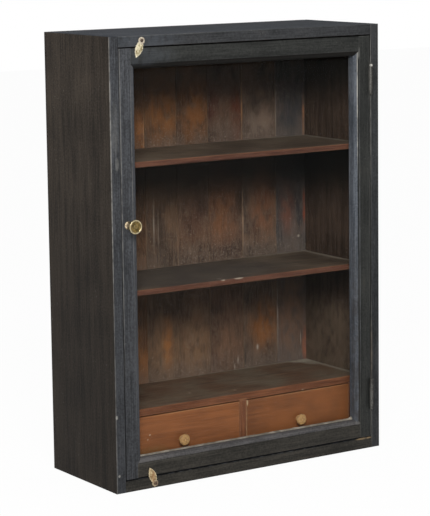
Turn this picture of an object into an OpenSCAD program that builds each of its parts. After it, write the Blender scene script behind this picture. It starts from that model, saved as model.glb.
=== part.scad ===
// Wall display cabinet: an ebonised case with a glazed door, two shelves and two small drawers.
// Millimetres. Origin at the centre of the underside, the front faces -Y, the hinges are on +X.

/* [Case] */
// Overall width across the two sides
case_w = 507; // [440:1:640]
// Overall height
case_h = 700; // [660:1:860]
// Overall depth from the front edge to the back of the boards
case_d = 198; // [190:1:260]
// Thickness of the side boards
side_t = 16; // [15:0.5:20]
// Thickness of the top board
top_t = 17; // [15:0.5:22]
// Thickness of the bottom board
bottom_t = 18.5; // [16:0.5:24]
// Depth of every housing cut in the sides
housing_d = 5; // [3:0.5:6]
// Thickness of the tongue on the ends of the top and bottom boards
tongue_t = 8; // [6:0.5:10]
// Distance that the tongues stop short of the front
tongue_stop = 12; // [8:1:20]
// Radius of the worn arrises
ease_r = 1.2; // [0.6:0.1:1.6]

/* [Back boards] */
// Thickness of the back boards
back_t = 15; // [10:0.5:16]
// Width of the rabbet in each side that takes the back boards
back_rabbet = 8; // [6:0.5:9]
// Width of the half lap between two back boards
back_lap = 7; // [5:0.5:9]
// Open joint between two back boards
back_gap = 0.6; // [0.2:0.1:0.9]

/* [Shelves] */
// Thickness of the shelves
shelf_t = 9; // [8:0.5:14]
// Height of the top face of the upper shelf
shelf_upper_z = 506; // [470:1:560]
// Height of the top face of the lower shelf
shelf_lower_z = 307.5; // [270:0.5:360]
// Distance of the shelf edges behind the case front
shelf_setback = 24; // [22:0.5:40]
// Section of the strip that stops the door
stop_t = 8; // [6:0.5:10]

/* [Drawer bay] */
// Height of the top face of the deck over the drawers
deck_z = 119; // [100:1:140]
// Thickness of the deck
deck_t = 12; // [9:0.5:16]
// Distance of the deck and drawer fronts behind the case front
deck_setback = 30; // [29:0.5:40]
// Thickness of the divider between the drawers
divider_t = 13.5; // [10:0.5:18]
// Middle of the divider, measured from the outer face of the left side
divider_x = 254.5; // [230:0.5:280]
// Depth of the housings for the divider
divider_housing = 3; // [2:0.5:4]
// Width of the packing piece that lets the right drawer pass the open door
packer_w = 25; // [24:0.5:34]

/* [Drawers] */
// Running clearance on each side of a drawer
drawer_side_gap = 0.8; // [0.4:0.1:1.2]
// Clearance under a drawer
drawer_lift = 0.3; // [0.2:0.05:0.4]
// Clearance over a drawer
drawer_head_gap = 1.4; // [1:0.1:2.5]
// Thickness of a drawer front
drawer_front_t = 14; // [12:0.5:18]
// Thickness of the drawer sides and back
drawer_side_t = 8; // [7:0.5:10]
// Thickness of a drawer bottom
drawer_bottom_t = 4; // [3:0.5:6]
// Height of the groove for the bottom above the drawer's lower edge
drawer_groove_z = 6; // [4:0.5:9]
// Depth of the groove for the bottom
drawer_groove_d = 3; // [2:0.5:4]
// Room left behind a drawer for the stop blocks
drawer_back_room = 9; // [6:0.5:20]
// Wood left in front of the half-blind dovetails
dovetail_lap = 4; // [3:0.5:6]
// Number of dovetails on each drawer side
dovetail_count = 3; // [2:1:4]
// Diameter of the turned drawer knobs
drawer_knob_d = 18.5; // [15:0.5:24]
// Distance that a drawer knob stands out
drawer_knob_l = 10.5; // [8:0.5:11]
// Shift of the left knob from the middle of its drawer
left_knob_shift = 6; // [-8:0.5:8]
// Shift of the right knob from the middle of its drawer
right_knob_shift = 0.5; // [-8:0.5:8]
// Distance of the drawer knobs below the middle of their drawers
drawer_knob_drop = 1.2; // [-4:0.1:4]

/* [Door] */
// Thickness of the door frame
door_t = 20; // [19:0.5:21]
// Gap round the door
door_gap = 1.5; // [1.2:0.1:2.5]
// Width of the flat face of the closing stile
closing_stile_w = 20; // [19:0.5:34]
// Width of the flat face of the hinge stile
hinge_stile_w = 22; // [20:0.5:34]
// Width of the flat face of the top rail
top_rail_w = 24; // [22:0.5:36]
// Width of the flat face of the bottom rail
bottom_rail_w = 21.5; // [20:0.5:36]
// Width of the moulding worked on the inner edge of the frame
mould_w = 8; // [6:0.5:10]
// Depth of the moulding
mould_d = 7; // [5:0.5:8]
// Depth of the small step at the outer edge of the moulding
quirk_d = 0.8; // [0.4:0.1:1.5]
// Depth from the door face to the glass
glass_depth = 14.5; // [13:0.5:15]
// Thickness of the glass
glass_t = 2; // [1.5:0.5:2.5]
// Width of the rebate for the glass
rebate_w = 6; // [5:0.5:7]
// Clearance of the glass in its rebate
glass_play = 0.8; // [0.3:0.1:1.5]
// Height that the pale bottom bead shows above the frame
bead_show = 2.5; // [1:0.5:4]
// Length of the tenons on the rails
tenon_l = 16; // [12:1:18]
// Thickness of the tenons
tenon_t = 6; // [5:0.5:7]
// Shoulder left above and below a tenon
tenon_shoulder = 4; // [3:0.5:6]

/* [Door knob] */
// Diameter of the brass knob
knob_d = 22; // [18:0.5:28]
// Distance that the knob stands out
knob_l = 23; // [18:0.5:30]
// Diameter of the knob's stem
knob_stem_d = 8; // [6:0.5:10]
// Height of the knob
knob_z = 414; // [300:1:500]
// Distance of the knob from the door's closing edge
knob_inset = 10.5; // [10:0.5:14]
// Diameter of the threaded shank behind the knob
knob_shank_d = 4; // [3:0.5:5]
// Length of the shank in the stile
knob_shank_l = 15; // [10:1:17]

/* [Hinges] */
// Height of a butt hinge
hinge_h = 50; // [40:1:60]
// Distance of the upper hinge below the top of the door
hinge_upper_inset = 44.5; // [30:0.5:90]
// Distance of the lower hinge above the foot of the door
hinge_lower_inset = 46; // [30:0.5:90]
// Width of a hinge leaf behind the case front
leaf_w = 15; // [12:0.5:16]
// Thickness of a hinge leaf
leaf_t = 1.5; // [1.2:0.1:1.8]
// Diameter of the knuckle
knuckle_d = 5; // [4.5:0.1:6]
// Diameter of the hinge pin
pin_d = 2.4; // [2:0.1:2.6]
// Number of knuckle barrels on a hinge
knuckle_count = 5; // [3:2:7]
// Gap between the knuckle barrels
knuckle_gap = 0.3; // [0.2:0.05:0.5]
// Diameter of the screws in the hinges and the catches
screw_d = 2.6; // [2.2:0.1:3]
// Length of the hinge screws
screw_l = 11; // [8:0.5:12]

/* [Catches] */
// Length of a leaf catch from its screw to its tip
catch_l = 27.5; // [24:0.5:34]
// Width of a leaf catch
catch_w = 12.4; // [9:0.1:13.5]
// Thickness of a leaf catch at its rim
catch_t = 1.6; // [1.2:0.1:2.4]
// Extra thickness of a leaf catch along its rib
catch_crown = 1.4; // [0.6:0.1:2]
// Screw of the top catch, measured from the outer face of the left side
catch_top_x = 56.8; // [45:0.1:90]
// Screw of the top catch, measured down from the top
catch_top_drop = 7.6; // [7:0.1:9]
// Lean of the top catch towards the left
catch_top_lean = 22; // [0:1:40]
// Screw of the bottom catch, measured from the outer face of the left side
catch_bottom_x = 67.6; // [50:0.1:100]
// Height of the screw of the bottom catch
catch_bottom_z = 7.4; // [7:0.1:10]
// Lean of the bottom catch towards the left
catch_bottom_lean = 20; // [0:1:40]

/* [Hidden] */

// Planes of the case
x_left = -case_w / 2;
x_right = case_w / 2;
y_front = -case_d / 2;
y_back = case_d / 2;
y_boards = y_back - back_t;
x_left_in = x_left + side_t;
x_right_in = x_right - side_t;
case_in_w = x_right_in - x_left_in;
top_z = case_h - top_t;

// Small clearances
seat = 0.1;
bore_play = 0.05;
round_steps = 3;
turned_fn = 64;

// Relative widths of the back boards, from the left
back_shares = [52, 56, 56, 61, 61, 67, 69, 69];
back_x = x_left_in - back_rabbet;
back_w = case_in_w + 2 * back_rabbet;

// Drawer bay
bay_z = bottom_t;
bay_h = deck_z - deck_t - bay_z;
y_drawer = y_front + deck_setback;
divider_left = x_left + divider_x - divider_t / 2;
divider_right = divider_left + divider_t;
packer_left = x_right_in - packer_w;
drawer_h = bay_h - drawer_lift - drawer_head_gap;
drawer_z = bay_z + drawer_lift;
left_drawer_x = x_left_in + drawer_side_gap;
left_drawer_w = divider_left - x_left_in - 2 * drawer_side_gap;
right_drawer_x = divider_right + drawer_side_gap;
right_drawer_w = packer_left - divider_right - 2 * drawer_side_gap;
drawer_l = y_boards - y_drawer - drawer_back_room;
tail_l = drawer_front_t - dovetail_lap;
tail_slope = 8;
tail_share = 0.68;
drawer_knob_z = drawer_h / 2 - drawer_knob_drop;
knob_spigot_d = 7;
knob_spigot_l = drawer_front_t - 2;

// Door
door_x = x_left_in + door_gap;
door_w = case_in_w - 2 * door_gap;
door_z = bottom_t + door_gap;
door_h = top_z - door_gap - door_z;
closing_sight_w = closing_stile_w + mould_w;
hinge_sight_w = hinge_stile_w + mould_w;
tenon_y = (door_t - tenon_t) / 2;
sight_x = door_x + closing_sight_w;
sight_l = door_w - closing_sight_w - hinge_sight_w;
sight_top = door_z + door_h - top_rail_w - mould_w;
sight_bottom = door_z + bottom_rail_w + mould_w;
bead_t = door_t - glass_depth - glass_t;
mitre_reach = 40;

// Hinges: the pin stands in front of the gap, clear of the case front
hinge_upper_z = door_z + door_h - hinge_upper_inset - hinge_h;
hinge_lower_z = door_z + hinge_lower_inset;
leaf_play = 0.1;
pin_x = x_right_in - door_gap / 2;
pin_y = y_front - knuckle_d / 2 - 0.3;
pin_play = 0.05;
pin_cap_h = 0.8;
barrel_h = hinge_h / knuckle_count;
hinge_screw_z = [hinge_h * 0.16, hinge_h * 0.5, hinge_h * 0.84];
screw_head_d = screw_d * 1.75;
screw_head_h = (screw_head_d - screw_d) / 2;
screw_slot_w = 0.5;
screw_slot_d = 0.5;

// Catches
catch_lift = 0.3;
catch_screw_l = 12;
catch_head_d = 5;
catch_head_h = 1.6;
catch_total_t = catch_t + catch_crown;

ebony = [0.20, 0.20, 0.21];
brown_stain = [0.24, 0.17, 0.12];
back_brown = [0.34, 0.21, 0.13];
red_brown = [0.47, 0.29, 0.17];
pale_wood = [0.72, 0.58, 0.40];
old_brass = [0.55, 0.45, 0.22];
cast_brass = [0.78, 0.68, 0.46];
dark_iron = [0.15, 0.14, 0.14];
putty = [0.74, 0.69, 0.60];

function sum_to(list, count) = count == 0 ? 0 : list[count - 1] + sum_to(list, count - 1);

// Corner of a section, rounded with a few flats: centre, radius and the first angle
function corner(x, y, r, start) = [
    for (i = [0:round_steps]) [x + r * cos(start + 90 * i / round_steps),
                               y + r * sin(start + 90 * i / round_steps)]
];

// Section w by d whose four corners are eased
function eased(w, d, r) = concat(
    corner(r, r, r, 180), corner(w - r, r, r, 270),
    corner(w - r, d - r, r, 0), corner(r, d - r, r, 90)
);

// Upright board with its long edges and its ends eased
module upright_board(w, d, h, r) {
    intersection() {
        linear_extrude(height = h) polygon(eased(w, d, r));
        rotate([90, 0, 90]) linear_extrude(height = w) polygon(eased(d, h, r));
    }
}

// Board that lies flat, with its long edges eased
module flat_board(w, d, t, r) {
    rotate([90, 0, 90]) linear_extrude(height = w) polygon(eased(d, t, r));
}

// Turned piece that stands out of a front face towards -Y
module turned(profile) {
    rotate([90, 0, 0]) rotate_extrude($fn = turned_fn) polygon(profile);
}

// Side boards

// Every housing in a side board, drawn for the left one
module side_housings() {
    translate([x_left_in - housing_d, y_front + tongue_stop - seat, top_z - seat])
        cube([housing_d + 1, case_d, tongue_t + 2 * seat]);
    translate([x_left_in - housing_d, y_front + tongue_stop - seat, bottom_t - tongue_t - seat])
        cube([housing_d + 1, case_d, tongue_t + 2 * seat]);
    for (z = [shelf_upper_z, shelf_lower_z])
        translate([x_left_in - housing_d, y_front + shelf_setback, z - shelf_t])
            cube([housing_d + 1, case_d, shelf_t]);
    translate([x_left_in - housing_d, y_front + deck_setback, deck_z - deck_t])
        cube([housing_d + 1, case_d, deck_t]);
    translate([x_left_in - back_rabbet, y_boards, -1])
        cube([back_rabbet + 1, back_t + 1, case_h + 2]);
}

module left_side() {
    color(ebony) difference() {
        translate([x_left, y_front, 0]) upright_board(side_t, case_d, case_h, ease_r);
        side_housings();
    }
}

module right_side() {
    color(ebony) difference() {
        translate([x_right_in, y_front, 0]) upright_board(side_t, case_d, case_h, ease_r);
        mirror([1, 0, 0]) side_housings();
        for (z = [hinge_upper_z, hinge_lower_z]) {
            case_leaf_recess(z);
            hinge_screw_holes(z, 1);
        }
    }
}

// Top and bottom

// Board between the sides with a tongue at each end; tongue_z is the tongue's lower face
module end_board(z, t, tongue_z) {
    translate([x_left_in, y_front, z]) flat_board(case_in_w, case_d - back_t, t, ease_r);
    for (x = [x_left_in - housing_d + seat, x_right_in - seat])
        translate([x, y_front + tongue_stop, tongue_z])
            cube([housing_d, case_d - back_t - tongue_stop - ease_r, tongue_t]);
}

module top_board() {
    color(ebony) difference() {
        end_board(top_z, top_t, top_z);
        catch_screw_hole(catch_top_x, case_h - catch_top_drop);
    }
}

module bottom_board() {
    color(ebony) difference() {
        end_board(0, bottom_t, bottom_t - tongue_t);
        catch_screw_hole(catch_bottom_x, catch_bottom_z);
        translate([divider_left - seat, y_drawer - seat, bottom_t - divider_housing - seat])
            cube([divider_t + 2 * seat, case_d, divider_housing + 1]);
    }
}

// Back boards, lapped over each other and nailed into the rabbets

module back_board(i) {
    left = back_x + back_w * sum_to(back_shares, i) / sum_to(back_shares, len(back_shares));
    right = back_x + back_w * sum_to(back_shares, i + 1) / sum_to(back_shares, len(back_shares));
    first = i == 0;
    last = i == len(back_shares) - 1;
    half = back_t / 2;
    lap_left = first ? left + seat : left + back_gap / 2;
    lap_right = last ? right - seat : right - back_gap / 2;
    tongue_right = last ? lap_right : lap_right + back_lap;
    groove_left = first ? lap_left : lap_left + back_lap;
    color(back_brown) linear_extrude(height = case_h) polygon([
        [lap_left, y_boards], [lap_right, y_boards],
        [lap_right, y_boards + half], [tongue_right, y_boards + half],
        [tongue_right, y_back], [groove_left, y_back],
        [groove_left, y_boards + half - seat], [lap_left, y_boards + half - seat]
    ]);
}

// Shelves, deck and the parts of the drawer bay

module shelf(z) {
    color(brown_stain)
        translate([x_left_in - housing_d + seat, y_front + shelf_setback, z - shelf_t])
            flat_board(case_in_w + 2 * (housing_d - seat), y_boards - y_front - shelf_setback,
                       shelf_t, ease_r);
}

module drawer_deck() {
    color(red_brown) difference() {
        translate([x_left_in - housing_d + seat, y_drawer, deck_z - deck_t])
            flat_board(case_in_w + 2 * (housing_d - seat), y_boards - y_drawer, deck_t, ease_r);
        translate([divider_left - seat, y_drawer + ease_r, deck_z - deck_t - 1])
            cube([divider_t + 2 * seat, case_d, divider_housing + 1 + seat]);
    }
}

module drawer_divider() {
    tongue_h = bay_h + 2 * divider_housing;
    color(red_brown) {
        translate([divider_left, y_drawer + 2 * ease_r, bay_z - divider_housing])
            cube([divider_t, y_boards - y_drawer - 2 * ease_r, tongue_h]);
        translate([divider_left, y_drawer, bay_z])
            cube([divider_t, 3 * ease_r, bay_h]);
    }
}

module drawer_packer() {
    color(red_brown) translate([packer_left, y_drawer, bay_z])
        cube([packer_w, y_boards - y_drawer, bay_h]);
}

// Blocks that stop the drawers when their fronts are level with the deck
module drawer_stops() {
    block_w = 18;
    block_h = 12;
    stop_y = y_drawer + drawer_l + drawer_lift;
    inset = 24;
    color(red_brown)
        for (x = [left_drawer_x + inset, left_drawer_x + left_drawer_w - inset - block_w,
                  right_drawer_x + inset, right_drawer_x + right_drawer_w - inset - block_w])
            translate([x, stop_y, bay_z]) cube([block_w, y_boards - stop_y, block_h]);
}

// Strip under the top board that the closed door rests on
module door_stop() {
    color(brown_stain)
        translate([x_left_in, y_front + door_t + drawer_lift, top_z - stop_t])
            cube([case_in_w, stop_t, stop_t]);
}

// Hinges

// Screw with a countersunk slotted head, its head's face at z = 0, its point towards -Z
module wood_screw(d, l, head_d, head_h) {
    difference() {
        rotate_extrude($fn = 32) polygon([
            [0, 0], [head_d / 2, 0], [d / 2, -head_h], [d / 2, -l + d], [0.2, -l], [0, -l]
        ]);
        translate([-head_d, -screw_slot_w / 2, -screw_slot_d])
            cube([2 * head_d, screw_slot_w, 1]);
    }
}

// Hole that the screw above sits in
module wood_screw_hole(d, l, head_d, head_h) {
    rotate_extrude($fn = 32) polygon([
        [0, 1], [head_d / 2 + bore_play, 1], [head_d / 2 + bore_play, 0],
        [d / 2 + bore_play, -head_h], [d / 2 + bore_play, -l - seat], [0, -l - seat]
    ]);
}

// Puts children at the three screws of a leaf; side is 1 for the case and -1 for the door
module at_hinge_screws(z, side) {
    for (i = [0:2])
        translate([pin_x + side * leaf_play / 2, y_front + leaf_w * (i == 1 ? 0.66 : 0.4),
                   z + hinge_screw_z[i]])
            rotate([0, -side * 90, 0]) children();
}

module hinge_screw_holes(z, side) {
    at_hinge_screws(z, side) wood_screw_hole(screw_d, screw_l, screw_head_d, screw_head_h);
}

module hinge_screws(z, side) {
    color(dark_iron) at_hinge_screws(z, side)
        wood_screw(screw_d, screw_l, screw_head_d, screw_head_h);
}

// Recess for a leaf in the case side
module case_leaf_recess(z) {
    translate([pin_x, y_front - 1, z - seat])
        cube([leaf_play / 2 + leaf_t, leaf_w + 1, hinge_h + 2 * seat]);
}

// Recess for a leaf in the door's edge
module door_leaf_recess(z) {
    translate([pin_x - leaf_play / 2 - leaf_t, y_front - 1, z - seat])
        cube([leaf_play / 2 + leaf_t, leaf_w + 1, hinge_h + 2 * seat]);
}

// Barrels first, first + 2 and so on of a knuckle, made larger by grow and longer by stretch
module barrels(first, grow, stretch) {
    for (i = [first:2:knuckle_count - 1])
        translate([pin_x, pin_y, i * barrel_h + knuckle_gap / 2 - stretch])
            cylinder(h = barrel_h - knuckle_gap + 2 * stretch, d = knuckle_d + 2 * grow, $fn = 48);
}

// Leaf with its barrels; side is 1 for the case and -1 for the door
module hinge_leaf(z, side) {
    own = side == 1 ? 0 : 1;
    plate_x = side == 1 ? pin_x + leaf_play / 2 : pin_x - leaf_play / 2 - leaf_t;
    color(dark_iron) difference() {
        translate([0, 0, z]) difference() {
            union() {
                barrels(own, 0, 0);
                translate([plate_x, pin_y, 0]) difference() {
                    cube([leaf_t, y_front + leaf_w - pin_y, hinge_h]);
                    translate([-1, -1, -1]) cube([leaf_t + 2, 1.1, hinge_h + 2]);
                }
            }
            barrels(1 - own, knuckle_gap, knuckle_gap);
            translate([pin_x, pin_y, -1])
                cylinder(h = hinge_h + 2, d = pin_d + 2 * (side == 1 ? bore_play : pin_play), $fn = 32);
        }
        hinge_screw_holes(z, side);
    }
}

module hinge_pin(z) {
    cap_d = knuckle_d * 0.8;
    color(dark_iron) translate([pin_x, pin_y, z]) rotate_extrude($fn = 32) polygon([
        [0, -pin_cap_h], [cap_d / 2 - 0.4, -pin_cap_h], [cap_d / 2, 0], [pin_d / 2, 0],
        [pin_d / 2, hinge_h], [cap_d / 2, hinge_h], [cap_d / 2 - 0.4, hinge_h + pin_cap_h],
        [0, hinge_h + pin_cap_h]
    ]);
}

// Door

// Moulding points from the face to the inner edge, seen as distance across and depth
function moulding(across) = [
    for (i = [0:6]) [across + mould_w * sin(15 * i),
                     mould_d - (mould_d - quirk_d) * cos(15 * i)]
];

// Section of a frame member: across from its outer edge, and depth from the door face
function member(face_w) = concat(
    [[ease_r, 0], [face_w, 0]],
    moulding(face_w),
    [[face_w + mould_w, glass_depth], [face_w + mould_w - rebate_w, glass_depth],
     [face_w + mould_w - rebate_w, door_t], [0, door_t], [0, ease_r], [ease_r * 0.3, ease_r * 0.3]]
);

// Wedge past the mitre of a member, drawn across and along
module mitre_cut(face_w, other_w) {
    reach = mould_w + mitre_reach;
    translate([0, -1, 0]) rotate([-90, 0, 0]) linear_extrude(height = door_t + 2)
        polygon([[face_w, 1], [face_w, -other_w], [face_w + reach, -other_w - reach],
                 [face_w + reach, 1]]);
}

// Stile drawn with its outer edge on the left, its foot at the origin, its face at y = 0
module stile(face_w) {
    difference() {
        linear_extrude(height = door_h) polygon(member(face_w));
        mitre_cut(face_w, bottom_rail_w);
        translate([0, 0, door_h]) mirror([0, 0, 1]) mitre_cut(face_w, top_rail_w);
        translate([face_w - tenon_l - seat, tenon_y - seat, tenon_shoulder - seat])
            cube([tenon_l + 1, tenon_t + 2 * seat, bottom_rail_w - 2 * tenon_shoulder + 2 * seat]);
        translate([face_w - tenon_l - seat, tenon_y - seat,
                   door_h - top_rail_w + tenon_shoulder - seat])
            cube([tenon_l + 1, tenon_t + 2 * seat, top_rail_w - 2 * tenon_shoulder + 2 * seat]);
    }
}
// Rail drawn with its outer edge at z = 0 and its left shoulder at x = 0
module rail(face_w) {
    l = door_w - closing_stile_w - hinge_stile_w;
    difference() {
        rotate([90, 0, 90]) linear_extrude(height = l)
            polygon([for (p = member(face_w)) [p[1], p[0]]]);
        for (end = [0, 1]) translate([end * l, 0, 0]) mirror([end, 0, 0])
            translate([0, -1, 0]) rotate([-90, 0, 0]) linear_extrude(height = door_t + 2)
                polygon([[-1, -face_w], [0, -face_w],
                         [mould_w + mitre_reach, -face_w - mould_w - mitre_reach],
                         [-1, -face_w - mould_w - mitre_reach]]);
    }
    for (x = [-tenon_l, l - 1])
        translate([x, tenon_y, tenon_shoulder])
            cube([tenon_l + 1, tenon_t, face_w - 2 * tenon_shoulder]);
}

module door_stile_closing() {
    color(ebony) difference() {
        translate([door_x, y_front, door_z]) stile(closing_stile_w);
        door_knob_hole();
    }
}

module door_stile_hinge() {
    color(ebony) difference() {
        translate([door_x + door_w, y_front, door_z]) mirror([1, 0, 0]) stile(hinge_stile_w);
        for (z = [hinge_upper_z, hinge_lower_z]) {
            door_leaf_recess(z);
            hinge_screw_holes(z, -1);
        }
    }
}

module door_rail_top() {
    color(ebony) translate([door_x + closing_stile_w, y_front, door_z + door_h])
        mirror([0, 0, 1]) rail(top_rail_w);
}

module door_rail_bottom() {
    color(ebony) translate([door_x + closing_stile_w, y_front, door_z]) rail(bottom_rail_w);
}

module door_glass() {
    grow = rebate_w - glass_play;
    color([0.8, 0.85, 0.85, 0.35])
        translate([sight_x - grow, y_front + glass_depth, sight_bottom - grow])
            cube([sight_l + 2 * grow, glass_t, sight_top - sight_bottom + 2 * grow]);
}

// Bead section: width across from the rebate's wall, and depth from the back of the glass
module bead(l, width) {
    linear_extrude(height = l)
        polygon([[0, 0], [width, 0], [width, bead_t * 0.35], [width * 0.55, bead_t], [0, bead_t]]);
}

// Side bead, drawn from the outer edge of its stile
module glazing_bead_side(edge_w) {
    translate([edge_w - rebate_w, y_front + glass_depth + glass_t, sight_bottom - rebate_w + seat])
        bead(sight_top - sight_bottom + 2 * (rebate_w - seat), rebate_w - seat);
}

module glazing_bead_left() {
    color(ebony) translate([door_x, 0, 0]) glazing_bead_side(closing_sight_w);
}

module glazing_bead_right() {
    color(ebony) translate([door_x + door_w, 0, 0]) mirror([1, 0, 0])
        glazing_bead_side(hinge_sight_w);
}

// Beads along the rails, fitted between the side beads
module glazing_bead_top() {
    color(ebony)
        translate([sight_x, y_front + glass_depth + glass_t, sight_top + rebate_w])
            rotate([0, 90, 0]) bead(sight_l, rebate_w - seat);
}

module glazing_bead_bottom() {
    color(putty)
        translate([sight_x + sight_l, y_front + glass_depth + glass_t,
                   sight_bottom - rebate_w])
            rotate([0, -90, 0]) bead(sight_l, rebate_w + bead_show);
}

// Brass knob with a dished face
module door_knob() {
    r = knob_d / 2;
    stem_r = knob_stem_d / 2;
    color(old_brass) translate([door_x + knob_inset, y_front, knob_z]) turned([
        [0, -knob_shank_l], [knob_shank_d / 2, -knob_shank_l], [knob_shank_d / 2, 0],
        [stem_r + 2.2, 0], [stem_r + 2.2, 1.2], [stem_r + 1, 2.2],
        [stem_r, 3.4], [stem_r, knob_l * 0.45], [stem_r + 0.8, knob_l * 0.55],
        [r * 0.62, knob_l * 0.68], [r * 0.9, knob_l * 0.8], [r, knob_l * 0.88],
        [r, knob_l * 0.95], [r - 0.7, knob_l], [r - 1.9, knob_l], [r - 2.6, knob_l - 0.9],
        [r * 0.4, knob_l - 1.7], [0, knob_l - 1.8]
    ]);
}

module door_knob_hole() {
    translate([door_x + knob_inset, y_front, knob_z]) rotate([-90, 0, 0])
        translate([0, 0, -1])
            cylinder(h = knob_shank_l + 1 + seat, d = knob_shank_d + 2 * bore_play, $fn = 32);
}

// Leaf catches

// Widths of the leaf in even steps from the top of its eye to its tip, as shares of its widest
leaf_shares = [0.3, 0.78, 0.84, 0.7, 0.8, 0.93, 1, 1, 0.93, 0.8, 0.6, 0.34, 0.06];

module leaf_outline() {
    start = catch_w * 0.35;
    steps = len(leaf_shares) - 1;
    step = (catch_l + start) / steps;
    polygon(concat(
        [for (i = [0:steps]) [-catch_w / 2 * leaf_shares[i], start - step * i]],
        [for (i = [steps:-1:0]) [catch_w / 2 * leaf_shares[i], start - step * i]]
    ));
}

// Leaf that points down, its screw at the origin, its back at y = 0 and its face towards -Y
module leaf_catch() {
    color(cast_brass) difference() {
        rotate([90, 0, 0]) {
            linear_extrude(height = catch_t) leaf_outline();
            cylinder(h = catch_t, d = catch_w * 0.92, $fn = 40);
            translate([0, 0, catch_t])
                linear_extrude(height = catch_crown, scale = [0.3, 0.94]) leaf_outline();
        }
        rotate([90, 0, 0]) {
            translate([0, 0, -1])
                cylinder(h = catch_total_t + 2, d = screw_d + 4 * bore_play, $fn = 32);
            translate([0, 0, catch_t])
                cylinder(h = catch_total_t, d = catch_head_d + 4 * bore_play, $fn = 40);
        }
        for (i = [0:3]) for (side = [-1, 1])
            translate([0, -catch_t - catch_crown * 0.9, -catch_l * (0.36 + 0.15 * i)])
                rotate([0, side * 38, 0]) translate([0.4, -2, -0.3]) cube([catch_w, 2.2, 0.6]);
    }
}

// Round-headed screw, its seat at y = 0
module catch_screw() {
    color(dark_iron) difference() {
        turned([
            [0, -catch_screw_l], [0.2, -catch_screw_l], [screw_d / 2, -catch_screw_l + screw_d],
            [screw_d / 2, catch_lift + catch_t + seat],
            [catch_head_d / 2, catch_lift + catch_t + seat],
            [catch_head_d * 0.46, catch_lift + catch_t + catch_head_h * 0.6],
            [catch_head_d * 0.28, catch_lift + catch_t + catch_head_h * 0.92],
            [0, catch_lift + catch_t + catch_head_h]
        ]);
        translate([-catch_head_d, -catch_lift - catch_t - catch_head_h - 1, -screw_slot_w / 2])
            cube([2 * catch_head_d, 1 + screw_slot_d * 1.4, screw_slot_w]);
    }
}

module catch_screw_hole(x, z) {
    translate([x_left + x, y_front, z]) rotate([-90, 0, 0]) translate([0, 0, -1])
        cylinder(h = catch_screw_l + 1 + seat, d = screw_d + 2 * bore_play, $fn = 32);
}

module catch_top() {
    translate([x_left + catch_top_x, y_front - catch_lift, case_h - catch_top_drop])
        rotate([0, catch_top_lean, 0]) leaf_catch();
}

module catch_top_screw() {
    translate([x_left + catch_top_x, y_front, case_h - catch_top_drop])
        rotate([0, 25, 0]) catch_screw();
}

module catch_bottom() {
    translate([x_left + catch_bottom_x, y_front - catch_lift, catch_bottom_z])
        rotate([0, 180 - catch_bottom_lean, 0]) leaf_catch();
}

module catch_bottom_screw() {
    translate([x_left + catch_bottom_x, y_front, catch_bottom_z])
        rotate([0, -40, 0]) catch_screw();
}

// Drawers

// Tails along the height of a drawer side, drawn across z, pointing towards -Y
module tails(t, grow) {
    pitch = drawer_h / dovetail_count;
    wide = pitch * tail_share / 2 + grow;
    narrow = wide - tail_l * tan(tail_slope);
    for (i = [0:dovetail_count - 1])
        translate([0, 0, pitch * (i + 0.5)]) rotate([90, 0, 90]) linear_extrude(height = t)
            polygon([[1, -narrow], [1, narrow], [0, narrow], [-tail_l - grow, wide],
                     [-tail_l - grow, -wide], [0, -narrow]]);
}

// Front, left corner at the origin
module drawer_front(w) {
    color(red_brown) difference() {
        rotate([90, 0, 90]) linear_extrude(height = w) polygon(eased(drawer_front_t, drawer_h, ease_r));
        for (x = [-1, w - drawer_side_t - seat])
            translate([x, drawer_front_t, 0]) tails(drawer_side_t + 1 + seat, bore_play);
        translate([drawer_side_t - drawer_groove_d, drawer_front_t - drawer_groove_d,
                   drawer_groove_z - seat])
            cube([w - 2 * (drawer_side_t - drawer_groove_d), drawer_groove_d + 1,
                  drawer_bottom_t + 2 * seat]);
        translate([w / 2, 0, 0]) children();
    }
}

// Left side of a drawer; the right one mirrors it
module drawer_side() {
    color(red_brown) difference() {
        union() {
            translate([0, drawer_front_t, 0])
                cube([drawer_side_t, drawer_l - drawer_front_t, drawer_h]);
            translate([0, drawer_front_t, 0]) tails(drawer_side_t, 0);
        }
        translate([drawer_side_t - drawer_groove_d, 0, drawer_groove_z - seat])
            cube([drawer_groove_d + 1, drawer_l + 1, drawer_bottom_t + 2 * seat]);
        translate([drawer_side_t - drawer_groove_d, drawer_back_y - seat,
                   drawer_groove_z + drawer_bottom_t])
            cube([drawer_groove_d + 1, drawer_side_t + 2 * seat, drawer_h]);
    }
}
drawer_back_y = drawer_l - drawer_side_t - 4;

module drawer_back(w) {
    side_in = drawer_side_t - drawer_groove_d + seat;
    low = drawer_groove_z + drawer_bottom_t + seat;
    color(red_brown) translate([side_in, drawer_back_y, low])
        cube([w - 2 * side_in, drawer_side_t, drawer_h - low - 3]);
}

module drawer_bottom(w) {
    side_in = drawer_side_t - drawer_groove_d + seat;
    front_in = drawer_front_t - drawer_groove_d + seat;
    color(brown_stain) translate([side_in, front_in, drawer_groove_z])
        cube([w - 2 * side_in, drawer_l - front_in, drawer_bottom_t]);
}

// Turned wooden knob with its spigot in the drawer front
module drawer_knob() {
    r = drawer_knob_d / 2;
    color(pale_wood) turned([
        [0, -knob_spigot_l], [knob_spigot_d / 2, -knob_spigot_l], [knob_spigot_d / 2, 0],
        [r * 0.62, 0], [r * 0.58, drawer_knob_l * 0.12], [r * 0.5, drawer_knob_l * 0.28],
        [r * 0.56, drawer_knob_l * 0.4], [r * 0.82, drawer_knob_l * 0.52],
        [r * 0.97, drawer_knob_l * 0.62], [r, drawer_knob_l * 0.72],
        [r * 0.96, drawer_knob_l * 0.86], [r * 0.84, drawer_knob_l * 0.96],
        [r * 0.6, drawer_knob_l * 0.99], [0, drawer_knob_l]
    ]);
}

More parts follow.
